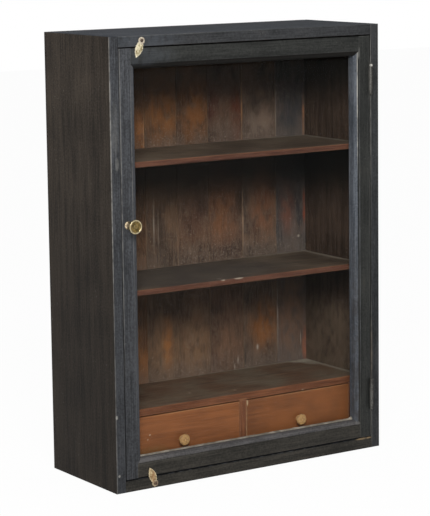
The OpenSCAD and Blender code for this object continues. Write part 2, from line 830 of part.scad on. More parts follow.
module drawer_knob_hole() {
    rotate([-90, 0, 0]) translate([0, 0, -1])
        cylinder(h = knob_spigot_l + 1 + seat, d = knob_spigot_d + 2 * bore_play, $fn = turned_fn);
}

module in_left_drawer() {
    translate([left_drawer_x, y_drawer, drawer_z]) children();
}

module in_right_drawer() {
    translate([right_drawer_x, y_drawer, drawer_z]) children();
}

module left_drawer_front() {
    in_left_drawer() drawer_front(left_drawer_w)
        translate([left_knob_shift, 0, drawer_knob_z]) drawer_knob_hole();
}
module left_drawer_side_left() { in_left_drawer() drawer_side(); }
module left_drawer_side_right() {
    in_left_drawer() translate([left_drawer_w, 0, 0]) mirror([1, 0, 0]) drawer_side();
}
module left_drawer_back() { in_left_drawer() drawer_back(left_drawer_w); }
module left_drawer_bottom() { in_left_drawer() drawer_bottom(left_drawer_w); }
module left_drawer_knob() {
    in_left_drawer() translate([left_drawer_w / 2 + left_knob_shift, 0, drawer_knob_z]) drawer_knob();
}

module right_drawer_front() {
    in_right_drawer() drawer_front(right_drawer_w)
        translate([right_knob_shift, 0, drawer_knob_z]) drawer_knob_hole();
}
module right_drawer_side_left() { in_right_drawer() drawer_side(); }
module right_drawer_side_right() {
    in_right_drawer() translate([right_drawer_w, 0, 0]) mirror([1, 0, 0]) drawer_side();
}
module right_drawer_back() { in_right_drawer() drawer_back(right_drawer_w); }
module right_drawer_bottom() { in_right_drawer() drawer_bottom(right_drawer_w); }
module right_drawer_knob() {
    in_right_drawer() translate([right_drawer_w / 2 + right_knob_shift, 0, drawer_knob_z])
        drawer_knob();
}

left_side();
right_side();
top_board();
bottom_board();
for (i = [0:len(back_shares) - 1])
    back_board(i);
shelf(shelf_upper_z);  // shelf_upper
shelf(shelf_lower_z);  // shelf_lower
drawer_deck();
drawer_divider();
drawer_packer();
drawer_stops();
door_stop();
hinge_leaf(hinge_upper_z, 1);  // hinge_upper_case_leaf
hinge_leaf(hinge_upper_z, -1);  // hinge_upper_door_leaf
hinge_pin(hinge_upper_z);  // hinge_upper_pin
hinge_screws(hinge_upper_z, 1);  // hinge_upper_case_screws
hinge_screws(hinge_upper_z, -1);  // hinge_upper_door_screws
hinge_leaf(hinge_lower_z, 1);  // hinge_lower_case_leaf
hinge_leaf(hinge_lower_z, -1);  // hinge_lower_door_leaf
hinge_pin(hinge_lower_z);  // hinge_lower_pin
hinge_screws(hinge_lower_z, 1);  // hinge_lower_case_screws
hinge_screws(hinge_lower_z, -1);  // hinge_lower_door_screws
door_stile_closing();
door_stile_hinge();
door_rail_top();
door_rail_bottom();
door_glass();
glazing_bead_left();
glazing_bead_right();
glazing_bead_top();
glazing_bead_bottom();
door_knob();
catch_top();
catch_top_screw();
catch_bottom();
catch_bottom_screw();
left_drawer_front();
left_drawer_side_left();
left_drawer_side_right();
left_drawer_back();
left_drawer_bottom();
left_drawer_knob();
right_drawer_front();
right_drawer_side_left();
right_drawer_side_right();
right_drawer_back();
right_drawer_bottom();
right_drawer_knob();
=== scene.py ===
import math

import bmesh
import bpy
from mathutils import Matrix, Vector, noise as ripple


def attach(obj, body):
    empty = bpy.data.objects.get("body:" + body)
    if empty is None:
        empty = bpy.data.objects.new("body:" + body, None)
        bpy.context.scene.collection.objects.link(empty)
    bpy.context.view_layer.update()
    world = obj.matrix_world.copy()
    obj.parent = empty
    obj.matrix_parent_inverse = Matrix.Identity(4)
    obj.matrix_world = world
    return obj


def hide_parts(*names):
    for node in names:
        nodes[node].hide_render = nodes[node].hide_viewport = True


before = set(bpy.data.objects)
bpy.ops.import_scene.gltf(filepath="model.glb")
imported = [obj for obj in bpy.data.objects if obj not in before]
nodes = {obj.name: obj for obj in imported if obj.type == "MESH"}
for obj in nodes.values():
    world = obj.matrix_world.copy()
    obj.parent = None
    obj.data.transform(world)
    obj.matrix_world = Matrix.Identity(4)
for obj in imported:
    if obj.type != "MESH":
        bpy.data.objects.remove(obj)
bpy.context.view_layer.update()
MM = 0.001


# Camera, lamps and floor

def photo_camera():
    """A camera placed by the corners of the case in the photograph."""
    place = (-1.8677, -2.8215, 0.8786)
    yaw = math.radians(33.475)
    pitch = math.radians(7.609)
    roll = math.radians(0.747)
    ahead = Vector((math.sin(yaw) * math.cos(pitch), math.cos(yaw) * math.cos(pitch), -math.sin(pitch)))
    right = Vector((math.cos(yaw), -math.sin(yaw), 0))
    up = right.cross(ahead)
    across = math.cos(roll) * right - math.sin(roll) * up
    upright = math.sin(roll) * right + math.cos(roll) * up
    turn = Matrix((across, upright, -ahead)).transposed()
    data = bpy.data.cameras.new("photo_camera")
    data.sensor_width = 36
    data.lens = 148.09
    data.shift_y = -0.1163
    camera = bpy.data.objects.new("photo_camera", data)
    bpy.context.scene.collection.objects.link(camera)
    camera.matrix_world = Matrix.Translation(place) @ turn.to_4x4()
    bpy.context.scene.camera = camera


def soft_lamp(name, place, target, width, watts, colour):
    """A square lamp that looks at a point."""
    data = bpy.data.lights.new(name, "AREA")
    data.shape = "SQUARE"
    data.size = width
    data.energy = watts
    data.color = colour
    lamp = bpy.data.objects.new(name, data)
    bpy.context.scene.collection.objects.link(lamp)
    aim = Vector(target) - Vector(place)
    lamp.location = place
    lamp.rotation_euler = aim.to_track_quat("-Z", "Y").to_euler()


# Shader wires

class Wire:
    """One socket in the node tree of a finish; maths on it adds the Math nodes."""

    def __init__(self, tree, socket):
        self.tree = tree
        self.socket = socket

    def node(self, kind, settings, sockets, out=0):
        """Add a node of any kind: its settings first, then the values or wires of its sockets."""
        made = self.tree.nodes.new("ShaderNode" + kind)
        for name, setting in settings.items():
            setattr(made, name, setting)
        for name, value in sockets.items():
            if isinstance(value, Wire):
                self.tree.links.new(value.socket, made.inputs[name])
            else:
                made.inputs[name].default_value = value
        return Wire(self.tree, made.outputs[out])

    def maths(self, operation, first, second):
        """Add a Math node."""
        return self.node("Math", {"operation": operation}, {0: first, 1: second})

    def __add__(self, other):
        return self.maths("ADD", self, other)

    def __radd__(self, other):
        return self.maths("ADD", other, self)

    def __sub__(self, other):
        return self.maths("SUBTRACT", self, other)

    def __rsub__(self, other):
        return self.maths("SUBTRACT", other, self)

    def __mul__(self, other):
        return self.maths("MULTIPLY", self, other)

    def __rmul__(self, other):
        return self.maths("MULTIPLY", other, self)


def tone(red, green, blue):
    """A colour as it is seen, in steps of 255, as the shader's linear colour."""
    linear = []
    for step in (red, green, blue):
        share = step / 255
        linear.append(share / 12.92 if share <= 0.04045 else ((share + 0.055) / 1.055) ** 2.4)
    return (*linear, 1)


def start_finish(name):
    """A new material and the wire of the places on its piece."""
    material = bpy.data.materials.new(name)
    material.use_nodes = True
    tree = material.node_tree
    tree.nodes.clear()
    where = tree.nodes.new("ShaderNodeTexCoord")
    return material, Wire(tree, where.outputs["Object"])


def close_finish(material, colour, roughness, height, relief, constants, round_over=0.0):
    """The wood, metal or glass shader, with its relief and its softened arrises."""
    tree = material.node_tree
    shader = tree.nodes.new("ShaderNodeBsdfPrincipled")
    for name, value in constants.items():
        shader.inputs[name].default_value = value
    output = tree.nodes.new("ShaderNodeOutputMaterial")
    sockets = {"Height": height, "Distance": relief, "Strength": 1.0}
    if round_over > 0:
        sockets["Normal"] = height.node("Bevel", {"samples": 4}, {"Radius": round_over})
    normal = height.node("Bump", {}, sockets)
    for name, wire in (("Base Color", colour), ("Roughness", roughness), ("Normal", normal)):
        if isinstance(wire, Wire):
            tree.links.new(wire.socket, shader.inputs[name])
        else:
            shader.inputs[name].default_value = wire
    tree.links.new(shader.outputs[0], output.inputs["Surface"])
    return shader


def between(value, low, high):
    """0 at low, 1 at high, with a soft rise."""
    sockets = {"Value": value, "From Min": low, "From Max": high}
    return value.node("MapRange", {"interpolation_type": "SMOOTHSTEP"}, sockets)


def blend(mask, under, over):
    """Two colours by a mask, 0 for the one under."""
    return mask.node("Mix", {"data_type": "RGBA"}, {0: mask, 6: under, 7: over}, 2)


def most(first, second):
    """The larger of two masks."""
    return first.maths("MAXIMUM", first, second)


def speckle(place, per_metre, seed, detail=2.0, rough=0.5):
    """Cloudy noise with so many waves a metre along x, y and z."""
    shift = (seed * 1.37, seed * 2.11, seed * 0.83)
    moved = place.node("Mapping", {}, {"Vector": place, "Location": shift, "Scale": per_metre})
    sockets = {"Vector": moved, "Scale": 1.0, "Detail": detail, "Roughness": rough}
    return moved.node("TexNoise", {}, sockets)


def grain(place, along, across, length, seed, detail=3.0):
    """Streaks along x, y or z: so many a metre across the grain and along it."""
    scale = [across, across, across]
    scale["xyz".index(along)] = length
    return speckle(place, scale, seed, detail, 0.6)


def flecks(place, per_metre, size, share, seed):
    """Small round specks: a share of the cells have one, of so big a part of a cell."""
    shift = (seed * 0.71, seed * 1.93, seed * 1.21)
    scale = (per_metre, per_metre, per_metre)
    moved = place.node("Mapping", {}, {"Vector": place, "Location": shift, "Scale": scale})
    sockets = {"Vector": moved, "Scale": 1.0, "Randomness": 1.0}
    centre = moved.node("TexVoronoi", {}, sockets)
    lottery = Wire(place.tree, centre.socket.node.outputs["Color"])
    drawn = lottery.node("SeparateColor", {}, {0: lottery})
    return between(centre, size, size * 0.6) * between(drawn, 1 - share, 1 - share + 0.02)


def arrises(place, reach, low=0.03, high=0.3):
    """1 along the outward arrises and 0 on the flats, from how thin the wood is behind them."""
    sockets = {"Distance": reach}
    behind = place.node("AmbientOcclusion", {"inside": True, "only_local": True, "samples": 6}, sockets, 1)
    return between(1 - behind, low, high)


def corners(place, reach):
    """1 in the inward corners, where dirt gathers."""
    before = place.node("AmbientOcclusion", {"samples": 6}, {"Distance": reach}, 1)
    return between(1 - before, 0.1, 0.6)


def along_axis(wire, axis):
    """One of the three numbers of a place or a direction."""
    return wire.node("SeparateXYZ", {}, {0: wire}, "XYZ".index(axis))


def facing(place, axis, sign):
    """1 on the faces that look along an axis."""
    direction = Wire(place.tree, place.socket.node.outputs["Normal"])
    return between(along_axis(direction, axis) * sign, 0.45, 0.65)


def mark(place, centre, size, soft):
    """1 inside an egg of half sizes in millimetres round a point, 0 outside it."""
    scale = tuple(1 / (half * MM) for half in size)
    shift = tuple(-middle / half for middle, half in zip(centre, size))
    moved = place.node("Mapping", {}, {"Vector": place, "Location": shift, "Scale": scale})
    away = moved.node("VectorMath", {"operation": "LENGTH"}, {0: moved}, "Value")
    return between(away, 1 + soft, 1 - soft)


# Colours: a pair is the dark and the light end of a streaky finish

# painted sheen and shade on the black fronts: blue-grey lit copies on the left, where the lamp is, and
# darker shaded copies elsewhere
PAINTED_LIT_FRONT = (tone(46, 47, 49), tone(78, 80, 84))
PAINTED_DIM_FRONT = (tone(36, 37, 38), tone(62, 63, 65))
PAINTED_LIT_DOOR = (tone(46, 47, 49), tone(80, 82, 86))
PAINTED_SHADED_FRONT = (tone(31, 32, 31), tone(54, 55, 53))
FOOT_BLACK = (tone(35, 34, 31), tone(64, 61, 56))
# painted light on the door's mouldings: lit where they face the lamp or look up, shaded where they look down
PAINTED_LIT_MOULDING = (tone(60, 64, 70), tone(98, 103, 110))
PAINTED_UPLIT_MOULDING = (tone(58, 57, 58), tone(94, 92, 92))
PAINTED_SHADED_MOULDING = (tone(9, 8, 7), tone(20, 18, 15))
OUTER_BLACK = (tone(30, 25, 20), tone(68, 60, 52))
TOP_SLATE = (tone(46, 49, 54), tone(72, 75, 81))
INNER_BROWN = (tone(42, 33, 27), tone(86, 70, 58))
# painted shade on the faces that look down
PAINTED_SHADE_UNDERSIDE = (tone(18, 14, 11), tone(38, 31, 24))
RAW_SOFTWOOD = (tone(96, 82, 64), tone(172, 152, 124))
# near black for painted shade: under the top and shelves, in gaps and creases, and towards the foot
PAINTED_SHADE = tone(6, 5, 4)
DUST_DARK = tone(52, 46, 38)
DUST_LIGHT = tone(106, 98, 84)
CHALK = tone(158, 156, 150)
WORN = tone(122, 121, 118)
BARE_WOOD = tone(142, 122, 94)
UNDERCOAT = tone(84, 70, 58)
PALE = tone(172, 160, 144)
RUST = tone(150, 74, 44)
GOLD = tone(164, 104, 50)
SCUFFED = tone(176, 138, 98)
CORNER_DUST = tone(138, 131, 116)

# Planes of the cabinet in millimetres, and a length that reaches past every piece

FRONT = -99
DRAWER_FRONT = -69
DRAWER_KNOB_HEIGHT = 61
BACK = 84
BACK_DEPTH = 4
LONG = 100000

# Bands of painted shade in metres, under the top and each shelf: where one starts, where it is full, the
# ceiling over it and its share

PAINTED_SHADE_BANDS = ((0.545, 0.612, 0.7, 0.76), (0.36, 0.465, 0.504, 0.92), (0.17, 0.272, 0.305, 0.58))

# Bands of dust in metres: where one is full, where it ends and the floor under it

DUST_BANDS = ((0.508, 0.548, 0.506), (0.31, 0.352, 0.308), (0.121, 0.165, 0.119))


# Finishes of the wood

def painted_shelf_shade(place):
    """1 close under the top and the shelves, fading down: painted shade where the shelves shadow the walls.
    """
    height = along_axis(place, "Z")
    total = height * 0
    for low, high, ceiling, share in PAINTED_SHADE_BANDS:
        total = most(total, between(height, low, high) * between(height, ceiling, ceiling - 0.003) * share)
    return total


def foot_dust(place):
    """1 at the foot of the back, close above each shelf and the deck, fading up."""
    height = along_axis(place, "Z")
    total = height * 0
    for low, high, floor in DUST_BANDS:
        total = most(total, between(height, high, low) * between(height, floor - 0.003, floor))
    return total


def add_marks(colour, place, places, blur, seed, soft=0.35):
    """Paint marks of wear and stain: each has a centre, half sizes, a paint and a share."""
    for centre, size, paint, share in places:
        broken = 0.35 + between(speckle(place, (blur, blur, blur * 0.6), seed, 4.0), 0.34, 0.6) * 0.65
        colour = blend(mark(place, centre, size, soft) * broken * share, colour, paint)
    return colour


def on_back(rows):
    """Marks on the face of the back boards, from rows of x, z, half width, half height, paint and share."""
    places = []
    for x, z, wide, high, paint, share in rows:
        places.append(((x, BACK, z), (wide, BACK_DEPTH, high), paint, share))
    return places


def black_wood(name, along, seed, looks, wear, places, shine=0.1, low_shade=0.0, shaded_inner_faces=None, moulding_light=None):
    """Black stain on wood, worn on its arrises.

    A look is a pair of colours for the faces along an axis, the first for all of them; the blue-grey pairs
    of the fronts are painted sheen and their darker copies painted shade. Low shade darkens the foot of the
    piece: painted shade, darker towards the bottom. The shaded inner faces look into the case and get
    painted shade under the top and shelves. The moulding band is a pair of colours for the moulding, from
    one place along an axis to another: a painted lit or shaded moulding.
    """
    material, place = start_finish(name)
    fine = grain(place, along, 700, 20, seed, 4.0)
    broad = grain(place, along, 90, 3, seed + 1, 4.0)
    cloud = speckle(place, (14, 14, 14), seed + 2, 4.0)
    tooth = speckle(place, (330, 330, 330), seed + 7, 3.0, 0.7)
    streak = between(fine * 0.35 + broad * 0.2 + cloud * 0.15 + tooth * 0.3, 0.4, 0.6)
    colour = blend(streak, *looks[0])
    for axis, sign, dark, light in looks[1:]:
        colour = blend(facing(place, axis, sign), colour, blend(streak, dark, light))
    # painted light or shade on the moulding, by its place
    if moulding_light:
        axis, outer, inner, dark, light = moulding_light
        colour = blend(between(along_axis(place, axis), outer, inner), colour, blend(streak, dark, light))
    rubbed = between(cloud, 0.55, 0.72) * between(fine, 0.5, 0.7)
    colour = blend(rubbed * 0.3 * wear, colour, UNDERCOAT)
    # painted shade: darker towards the bottom, less on the front faces
    if low_shade > 0:
        low_shade_mask = between(along_axis(place, "Z"), 0.62, 0.18) * (1 - facing(place, "Y", -1) * 0.45)
        colour = blend(low_shade_mask * low_shade, colour, PAINTED_SHADE)
    # the faces that look into the case get painted shade under the top and shelves
    if shaded_inner_faces:
        within = facing(place, *shaded_inner_faces) * between(along_axis(place, "Y"), -0.08, -0.077)
        inner = blend(painted_shelf_shade(place), blend(streak, *INNER_BROWN), PAINTED_SHADE)
        colour = blend(within, colour, inner)
    edge = arrises(place, 0.0016) * between(broad * 0.5 + cloud * 0.5, 0.4, 0.6)
    colour = blend(edge * 0.4 * wear, colour, WORN)
    nicks = between(speckle(place, (420, 420, 420), seed + 3, 1.0), 0.72, 0.8)
    colour = blend(nicks * between(cloud, 0.45, 0.6) * 0.5 * wear, colour, CHALK)
    colour = add_marks(colour, place, places, 110, seed + 5)
    matt = facing(place, "Z", 1)
    roughness = most(0.4 + fine * 0.16 + edge * 0.2, matt * 0.95)
    height = fine * 0.6 + broad * 0.4 - nicks * 0.4
    close_finish(material, colour, roughness, height, 0.00025, {"Specular IOR Level": shine}, 0.0006)
    return material


def brown_wood(name, along, seed, looks, warm, dust=0.0, places=(), gloss=0.12):
    """Old brown wood inside the case, with a grey bloom on what looks up."""
    material, place = start_finish(name)
    fine = grain(place, along, 640, 16, seed, 4.0)
    figure = grain(place, along, 120, 3.5, seed + 1, 4.0)
    cloud = speckle(place, (13, 13, 13), seed + 2, 5.0, 0.6)
    streak = between(fine * 0.45 + figure * 0.3 + cloud * 0.25, 0.39, 0.61)
    colour = blend(streak, *looks[0])
    colour = blend(between(cloud, 0.45, 0.68) * 0.5, colour, warm)
    if dust > 0:
        bloom = facing(place, "Z", 1) * (0.6 + between(cloud, 0.35, 0.65) * 0.4)
        uneven = between(fine * 0.6 + cloud * 0.4, 0.38, 0.62)
        colour = blend(bloom * dust, colour, blend(uneven, DUST_DARK, DUST_LIGHT))
        bits = flecks(place, 230, 0.22, 0.14, seed + 3) * facing(place, "Z", 1)
        colour = blend(bits * 0.55, colour, tone(170, 164, 150))
    for axis, sign, dark, light in looks[1:]:
        colour = blend(facing(place, axis, sign), colour, blend(streak, dark, light))
    # the arrises are lighter: wear and a painted highlight
    edge = arrises(place, 0.0016) * between(figure, 0.35, 0.6)
    colour = blend(edge * 0.4, colour, tone(160, 118, 84))
    colour = add_marks(colour, place, places, 500, seed + 5)
    roughness = 0.5 + fine * 0.2
    height = fine * 0.5 + figure * 0.5
    close_finish(material, colour, roughness, height, 0.0003, {"Specular IOR Level": gloss}, 0.0005)
    return material


def back_board_wood(name, seed, dark, light, warm, warm_share, places):
    """One back board: uneven stain, dark streaks, scratches and pale specks; raw on its outside."""
    material, place = start_finish(name)
    fine = grain(place, "z", 560, 40, seed, 4.0)
    figure = grain(place, "z", 100, 9, seed + 1, 4.0)
    cloud = speckle(place, (22, 22, 16), seed + 2, 6.0, 0.7)
    grit = speckle(place, (600, 600, 420), seed + 8, 2.0, 0.7)
    streak = between(fine * 0.35 + figure * 0.1 + cloud * 0.35 + grit * 0.2, 0.37, 0.63)
    colour = blend(streak, dark, light)
    colour = blend(between(cloud, 0.42, 0.66) * warm_share, colour, warm)
    stain = between(speckle(place, (26, 26, 22), seed + 3, 5.0, 0.65), 0.54, 0.7)
    colour = blend(stain * 0.25, colour, tone(50, 40, 33))
    colour = add_marks(colour, place, places, 80, seed + 6, 0.8)
    bloom = between(speckle(place, (70, 70, 50), seed + 4, 5.0, 0.7), 0.5, 0.72)
    colour = blend(bloom * 0.22, colour, tone(140, 124, 108))
    foot = foot_dust(place)
    colour = blend(foot * 0.5 * between(grit * 0.5 + cloud * 0.5, 0.35, 0.6), colour, tone(92, 86, 81))
    crumbs = between(grit + foot * 0.035, 0.61, 0.7) * (0.3 + foot * 0.4)
    bits = most(flecks(place, 190, 0.2, 0.12, seed + 5), crumbs)
    colour = blend(bits * 0.5, colour, tone(176, 160, 138))
    # the arrises are lighter: wear and a painted highlight
    edge = arrises(place, 0.0012) * between(fine, 0.35, 0.55)
    colour = blend(edge * 0.4, colour, tone(150, 124, 98))
    # painted shade on the back boards under the top and each shelf
    colour = blend(painted_shelf_shade(place), colour, PAINTED_SHADE)
    raw = blend(between(cloud, 0.42, 0.62) * 0.5, blend(streak, *RAW_SOFTWOOD), warm)
    colour = blend(facing(place, "Y", 1), colour, raw)
    colour = blend(facing(place, "Z", 1), colour, blend(streak, *TOP_SLATE))
    roughness = 0.55 + fine * 0.2
    height = fine * 0.6 + figure * 0.4
    close_finish(material, colour, roughness, height, 0.0004, {"Specular IOR Level": 0.05}, 0.0005)
    return material


def plain_wood(name, along, seed):
    """The unstained pine inside the drawers."""
    material, place = start_finish(name)
    fine = grain(place, along, 480, 10, seed, 4.0)
    rings = grain(place, along, 160, 3, seed + 1)
    cloud = speckle(place, (12, 12, 12), seed + 2, 4.0)
    colour = blend(between(rings * 0.7 + fine * 0.3, 0.38, 0.62), tone(150, 112, 74), tone(186, 150, 108))
    colour = blend(between(cloud, 0.5, 0.7) * 0.4, colour, tone(120, 92, 64))
    height = fine * 0.5 + rings * 0.5
    close_finish(material, colour, 0.6 + fine * 0.2, height, 0.0003, {"Specular IOR Level": 0.25}, 0.0004)
    return material


def turned_wood(name, centre):
    """A drawer knob: pale wood in turned rings, grubby where fingers pull it."""
    material, place = start_finish(name)
    shift = tuple(-middle * MM for middle in centre)
    moved = place.node("Mapping", {}, {"Vector": place, "Location": shift})
    across = along_axis(moved, "X")
    upwards = along_axis(moved, "Z")
    square = across * across + upwards * upwards
    out = square.node("Math", {"operation": "SQRT"}, {0: square})
    fine = speckle(moved, (900, 300, 250), 3, 4.0)
    turns = out * 2400 + fine * 3
    rings = turns.node("Math", {"operation": "SINE"}, {0: turns})
    colour = blend(between(fine, 0.35, 0.65), tone(142, 107, 64), tone(192, 152, 96))
    colour = blend(between(rings, 0.2, 1.0) * 0.4, colour, tone(112, 82, 54))
    grime = between(out, 0.0068, 0.0095) * between(speckle(moved, (260, 260, 260), 8, 3.0), 0.3, 0.6)
    colour = blend(grime * 0.35, colour, tone(84, 62, 44))
    height = fine * 0.4 + rings * 0.2
    close_finish(material, colour, 0.42 + fine * 0.2, height, 0.0001, {"Specular IOR Level": 0.4})
    return material


# Finishes of the putty, the glass and the metal

def old_putty():
    """Putty gone grey and gritty."""
    material, place = start_finish("old_putty")
    cloud = speckle(place, (60, 60, 60), 2, 5.0, 0.6)
    grit = speckle(place, (900, 900, 900), 4, 3.0)
    colour = blend(between(cloud, 0.35, 0.65), tone(112, 106, 95), tone(162, 155, 142))
    colour = blend(between(grit, 0.6, 0.75) * 0.5, colour, tone(84, 76, 64))
    close_finish(material, colour, 0.75 + grit * 0.15, cloud * 0.5 + grit * 0.5, 0.0005,
                 {"Specular IOR Level": 0.2})
    return material


def window_glass():
    """Old drawn glass: nearly clear, faintly rippled, with a little dust on it."""
    material, place = start_finish("window_glass")
    waves = speckle(place, (9, 9, 16), 5, 2.0)
    dust = speckle(place, (240, 240, 240), 7, 4.0)
    graze = waves.node("Fresnel", {}, {"IOR": 1.2})
    colour = blend(between(dust, 0.4, 0.6), tone(180, 186, 186), tone(214, 218, 214))
    shader = close_finish(material, colour, 0.08 + dust * 0.05, waves, 0.0004, {"Specular IOR Level": 0.5})
    seen = 0.003 + graze * 0.1 + between(dust, 0.6, 0.8) * 0.01
    material.node_tree.links.new(seen.socket, shader.inputs["Alpha"])
    return material


def brass(name, dark, light, tarnish, tarnish_share, relief, metal, bright, places):
    """Brass that has gone olive in its hollows and stays bright where it is touched; the bright rims are
    also a painted highlight.
    """
    material, place = start_finish(name)
    cloud = speckle(place, (160, 160, 160), 3, 5.0, 0.65)
    pits = speckle(place, (1400, 1400, 1400), 6, 3.0)
    colour = blend(between(cloud, 0.38, 0.62), dark, light)
    hollow = most(between(pits, 0.5, 0.66), corners(place, 0.0016))
    colour = blend(hollow * tarnish_share, colour, tarnish)
    # the bright rims are rubbed brass and a painted highlight
    rim = arrises(place, 0.0013, 0.02, 0.22)
    colour = blend(rim * 0.8, colour, bright)
    colour = add_marks(colour, place, places, 600, 9)
    roughness = 0.25 + hollow * 0.25 + cloud * 0.12 - rim * 0.08
    close_finish(material, colour, roughness, cloud * 0.3 + pits * 0.7, relief, {"Metallic": metal})
    return material


def old_iron(name, dark, light, rust, places=()):
    """Old iron with rust in its pores and rubbed arrises."""
    material, place = start_finish(name)
    cloud = speckle(place, (220, 220, 220), 4, 5.0, 0.6)
    pits = speckle(place, (1600, 1600, 1600), 9, 3.0)
    colour = blend(between(cloud, 0.4, 0.6), dark, light)
    colour = blend(between(cloud, 0.56, 0.7) * 0.4, colour, rust)
    rim = arrises(place, 0.0007)
    colour = blend(rim * 0.25, colour, tone(130, 128, 122))
    colour = add_marks(colour, place, places, 600, 9)
    close_finish(material, colour, 0.5 + pits * 0.2, cloud * 0.4 + pits * 0.6, 0.00015,
                 {"Metallic": 0.2, "Specular IOR Level": 0.2})
    return material


# Floor and air

def seen_rays(tree):
    """1 for what the eye sees, straight, in a shine or through glass, and 0 for what lights the piece."""
    path = tree.nodes.new("ShaderNodeLightPath")
    camera = Wire(tree, path.outputs["Is Camera Ray"])
    glossy = Wire(tree, path.outputs["Is Glossy Ray"])
    through = Wire(tree, path.outputs["Is Transmission Ray"])
    return most(most(camera, glossy), through)


def paper_floor():
    """A white floor that keeps the shadow of the case."""
    material, place = start_finish("paper_floor")
    tree = material.node_tree
    tooth = speckle(place, (300, 300, 300), 1, 2.0)
    colour = blend(tooth, tone(238, 238, 238), tone(246, 246, 246))
    shader = close_finish(material, colour, 0.9, tooth, 0.0001, {"Specular IOR Level": 0.0})
    glow = place.node("Emission", {}, {"Color": (1, 1, 1, 1), "Strength": 1.01})
    seen = seen_rays(tree) * 0.95
    mixed = seen.node("MixShader", {}, {0: seen, 1: Wire(tree, shader.outputs[0]), 2: glow})
    output = next(node for node in tree.nodes if node.type == "OUTPUT_MATERIAL")
    tree.links.new(mixed.socket, output.inputs["Surface"])
    return material


def studio_air():
    """White for the eye, the metal and the glass, softer on the wood."""
    world = bpy.data.worlds.new("studio_air")
    world.use_nodes = True
    bpy.context.scene.world = world
    tree = world.node_tree
    tree.nodes.clear()
    seen = seen_rays(tree)
    air = 0.36
    sky = seen.node("Background", {}, {"Color": (1, 1, 1, 1), "Strength": air + seen * (1 - air)})
    output = tree.nodes.new("ShaderNodeOutputWorld")
    tree.links.new(sky.socket, output.inputs["Surface"])


# Pieces

def dress(name, material):
    """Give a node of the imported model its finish."""
    for slot in nodes[name].material_slots:
        slot.material = material


def new_piece(name, mesh, material, body, replaced=()):
    """A finished mesh as a piece that rides on a body."""
    piece = bpy.data.objects.new(name, mesh)
    bpy.context.scene.collection.objects.link(piece)
    mesh.materials.clear()
    mesh.materials.append(material)
    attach(piece, body)
    if replaced:
        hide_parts(*replaced)
    return piece


def soften(shape, angle):
    """Smooth shading, with the arrises that are sharper than the angle kept."""
    for face in shape.faces:
        face.smooth = True
    for edge in shape.edges:
        sharp = len(edge.link_faces) != 2 or edge.calc_face_angle(0) > math.radians(angle)
        edge.smooth = not sharp


def to_mesh(shape, name):
    """Close a shape as a mesh."""
    mesh = bpy.data.meshes.new(name)
    shape.to_mesh(mesh)
    shape.free()
    return mesh


def smooth_copy(name, material, body):
    """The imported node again, its points merged and its mouldings shaded round."""
    shape = bmesh.new()
    shape.from_mesh(nodes[name].data)
    bmesh.ops.remove_doubles(shape, verts=shape.verts, dist=0.000001)
    soften(shape, 28)
    return new_piece(name + "_finished", to_mesh(shape, name + "_finished"), material, body, (name,))


def turned_shape(profile, steps):
    """A profile of radius and height in millimetres, spun round the y axis with its head towards -y."""
    shape = bmesh.new()
    line = []
    for radius, height in profile:
        line.append(shape.verts.new((radius * MM, -height * MM, 0)))
    edges = []
    for first, second in zip(line, line[1:]):
        edges.append(shape.edges.new((first, second)))
    bmesh.ops.spin(shape, geom=line + edges, cent=(0, 0, 0), axis=(0, 1, 0), angle=math.tau, steps=steps,
                   use_merge=True)
    bmesh.ops.remove_doubles(shape, verts=shape.verts, dist=0.000002)
    bmesh.ops.recalc_face_normals(shape, faces=shape.faces)
    return shape


DOOR_KNOB_PLACE = (-0.2255, -0.099, 0.414)


def brass_knob(material):
    """The door's turned knob: a neck, a wide head, a raised bright rim and a dished face."""
    radius = 11
    profile = [
        (0, -15), (2, -15), (2, 0), (6.2, 0), (6.2, 0.7), (5.9, 1.2), (5.2, 1.9), (4.5, 2.8), (4.1, 4.2),
        (4, 6.5), (4, 9.5), (4.2, 11.3), (4.8, 12.8), (5.8, 14.2), (7.2, 15.6), (8.8, 17), (9.9, 18.1),
        (10.6, 19.2), (radius, 20.3), (radius, 21.6), (10.8, 22.4), (10.4, 22.85), (9.9, 23), (9.4, 22.9),
        (9, 22.6), (8.7, 22.2), (8.3, 21.9), (6.5, 21.55), (4.5, 21.3), (3.2, 21.25), (2.8, 21.5),
        (2.2, 21.6), (1.2, 21.62), (0, 21.64)
    ]
    shape = turned_shape(profile, 64)
    bmesh.ops.translate(shape, verts=shape.verts, vec=DOOR_KNOB_PLACE)
    soften(shape, 40)
    new_piece("door_knob_turned", to_mesh(shape, "door_knob_turned"), material, "door",
              ("door_knob",))


def wooden_knob(side, centre_x, material):
    """A drawer's turned knob with a short neck and a rounded head."""
    profile = [
        (0, -12), (3.5, -12), (3.5, 0), (5.9, 0), (5.8, 0.5), (5.4, 1.3), (4.8, 2.3), (4.6, 3.1), (4.9, 3.9),
        (6, 4.7), (7.6, 5.5), (8.7, 6.3), (9.15, 7.1), (9.25, 7.7), (9.1, 8.5), (8.6, 9.3), (7.7, 9.9),
        (6.6, 10.2), (6.2, 10.15), (5.9, 10.3), (4, 10.45), (1.5, 10.5), (0, 10.5)
    ]
    shape = turned_shape(profile, 56)
    seat = (centre_x * MM, DRAWER_FRONT * MM, DRAWER_KNOB_HEIGHT * MM)
    bmesh.ops.translate(shape, verts=shape.verts, vec=seat)
    soften(shape, 50)
    new_piece(side + "_drawer_knob_turned", to_mesh(shape, side + "_drawer_knob_turned"), material,
              side + "_drawer", (side + "_drawer_knob",))


def between_numbers(value, low, high):
    """0 at low, 1 at high, with a soft rise, for plain numbers."""
    share = min(max((value - low) / (high - low), 0), 1)
    return share * share * (3 - 2 * share)


# Half the leaf's width in equal steps of its length, as a part of its widest

